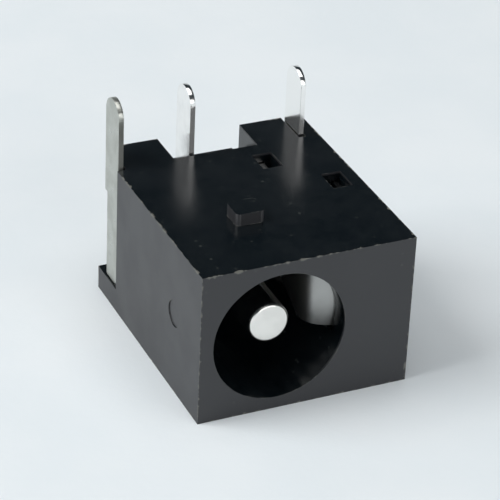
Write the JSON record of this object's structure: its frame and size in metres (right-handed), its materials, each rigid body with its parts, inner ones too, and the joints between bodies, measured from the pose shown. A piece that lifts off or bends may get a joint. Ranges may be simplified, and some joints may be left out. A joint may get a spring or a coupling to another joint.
{
  "type": "dc barrel jack",
  "caption": "Low-profile board-mount barrel jack: a black moulded block with an offset bore and centre pin, a spring sleeve contact, a break contact and flat solder blades.",
  "frame": {"origin": "middle of the housing's outline, on its plain face", "axes": "+Z from the plain face to the board face, the way the solder blades point; -Y out of the mouth; +X from the bore towards the spring chamber"},
  "size_m": [0.0104, 0.0126, 0.011],
  "materials": {
    "moulding": "fine matt, as moulded",
    "plated_pin": "bright nickel plate",
    "dull_sheet": "dull tin plate",
    "plated_sheet": "bright tin plate"
  },
  "bodies": {
    "root": {"housing": "moulding", "centre_pin": "plated_pin", "pin_terminal": "dull_sheet", "sleeve_spring": "plated_sheet", "break_contact": "plated_sheet"}
  },
  "joints": []
}
